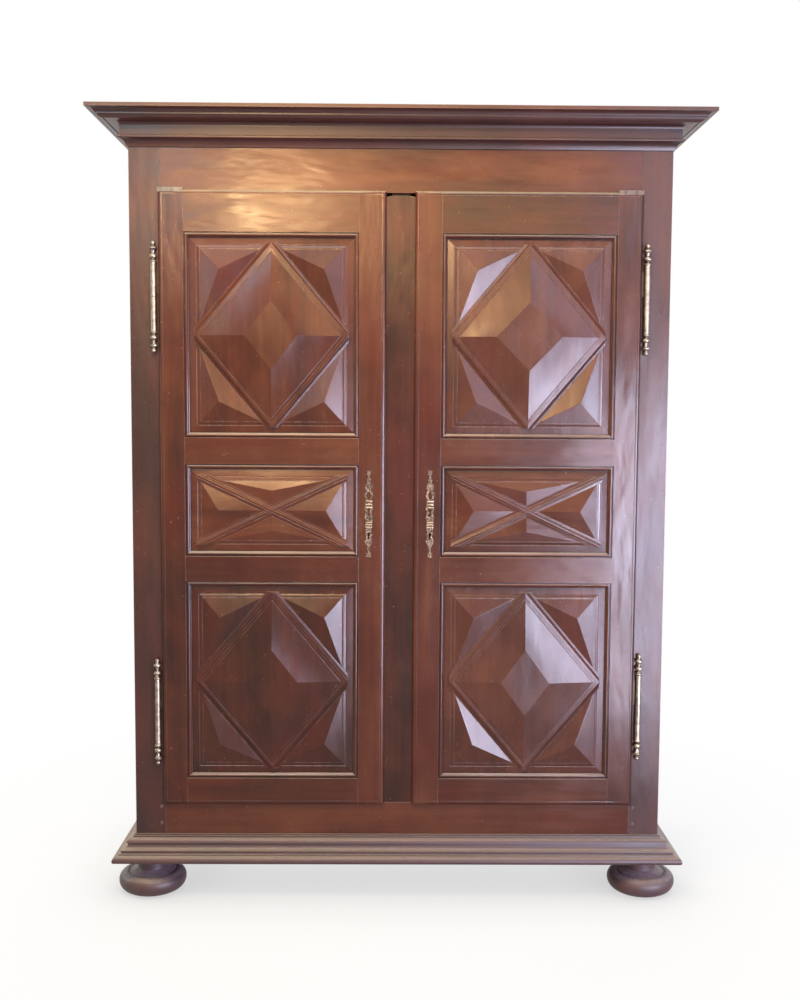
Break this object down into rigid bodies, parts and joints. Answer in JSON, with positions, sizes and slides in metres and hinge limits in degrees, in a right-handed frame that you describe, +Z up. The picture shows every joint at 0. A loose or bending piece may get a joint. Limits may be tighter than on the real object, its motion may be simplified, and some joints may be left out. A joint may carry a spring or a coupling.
{
  "type": "cupboard",
  "caption": "Tall two-door cupboard with faceted diamond door panels, stepped cornice, moulded base, bun feet, shelves inside and a sliding bolt in each door.",
  "frame": {"origin": "on the floor, in the middle of the footprint of the whole box", "axes": "+X to the right as seen from the front, +Y to the back, +Z up"},
  "size_m": [1.692, 0.656, 2.2021],
  "materials": {
    "frame_wood": "waxed, dark red-brown",
    "panel_wood": "waxed, dark red-brown",
    "inner_wood": "plain, unpolished",
    "brass": "aged, dull",
    "iron": "dark, hammered"
  },
  "bodies": {
    "carcass": {"back_boards": "inner_wood", "back_rails": "inner_wood", "base_front": "frame_wood", "base_left": "frame_wood", "base_right": "frame_wood", "carcass_pegs": "frame_wood", "centre_post": "frame_wood", "cornice_back_rail": "inner_wood", "cornice_front": "frame_wood", "cornice_left": "frame_wood", "cornice_right": "frame_wood", "cornice_top_boards": "inner_wood", "floor_boards": "inner_wood", "front_bottom_rail": "frame_wood", "front_left_foot": "frame_wood", "front_left_post": "frame_wood", "front_right_foot": "frame_wood", "front_right_post": "frame_wood", "front_top_rail": "frame_wood", "left_hinge_pintles": "brass", "left_shelf_cleats": "inner_wood", "left_side_panels": "panel_wood", "left_side_rails": "frame_wood", "lower_shelf": "inner_wood", "middle_shelf": "inner_wood", "rear_left_post": "frame_wood", "rear_right_post": "frame_wood", "right_hinge_pintles": "brass", "right_shelf_cleats": "inner_wood", "right_side_panels": "panel_wood", "right_side_rails": "frame_wood", "upper_shelf": "inner_wood"},
    "left_door": {"left_door_bottom_rail": "frame_wood", "left_door_hinge_stile": "frame_wood", "left_door_lock_stile": "frame_wood", "left_door_lower_middle_rail": "frame_wood", "left_door_lower_panel": "panel_wood", "left_door_middle_panel": "panel_wood", "left_door_top_rail": "frame_wood", "left_door_upper_middle_rail": "frame_wood", "left_door_upper_panel": "panel_wood", "left_escutcheon": "brass", "left_hinge_barrels": "brass", "left_lock_case": "iron"},
    "right_door": {"right_door_bottom_rail": "frame_wood", "right_door_hinge_stile": "frame_wood", "right_door_lock_stile": "frame_wood", "right_door_lower_middle_rail": "frame_wood", "right_door_lower_panel": "panel_wood", "right_door_middle_panel": "panel_wood", "right_door_top_rail": "frame_wood", "right_door_upper_middle_rail": "frame_wood", "right_door_upper_panel": "panel_wood", "right_escutcheon": "brass", "right_hinge_barrels": "brass", "right_lock_case": "iron"},
    "left_lock_bolt": {"left_lock_bolt": "iron"},
    "right_lock_bolt": {"right_lock_bolt": "iron"}
  },
  "joints": [
    {"name": "left_door_hinge", "type": "hinge", "parent": "carcass", "child": "left_door", "pos_m": [-0.683, -0.2432, 1.116], "axis": [0, 0, -1], "range_deg": [0, 165]},
    {"name": "right_door_hinge", "type": "hinge", "parent": "carcass", "child": "right_door", "pos_m": [0.683, -0.2432, 1.1245], "axis": [0, 0, 1], "range_deg": [0, 165]},
    {"name": "left_bolt_slide", "type": "slide", "parent": "left_door", "child": "left_lock_bolt", "axis": [1, 0, 0], "range_m": [0, 0.012]},
    {"name": "right_bolt_slide", "type": "slide", "parent": "right_door", "child": "right_lock_bolt", "axis": [-1, 0, 0], "range_m": [0, 0.012]}
  ]
}
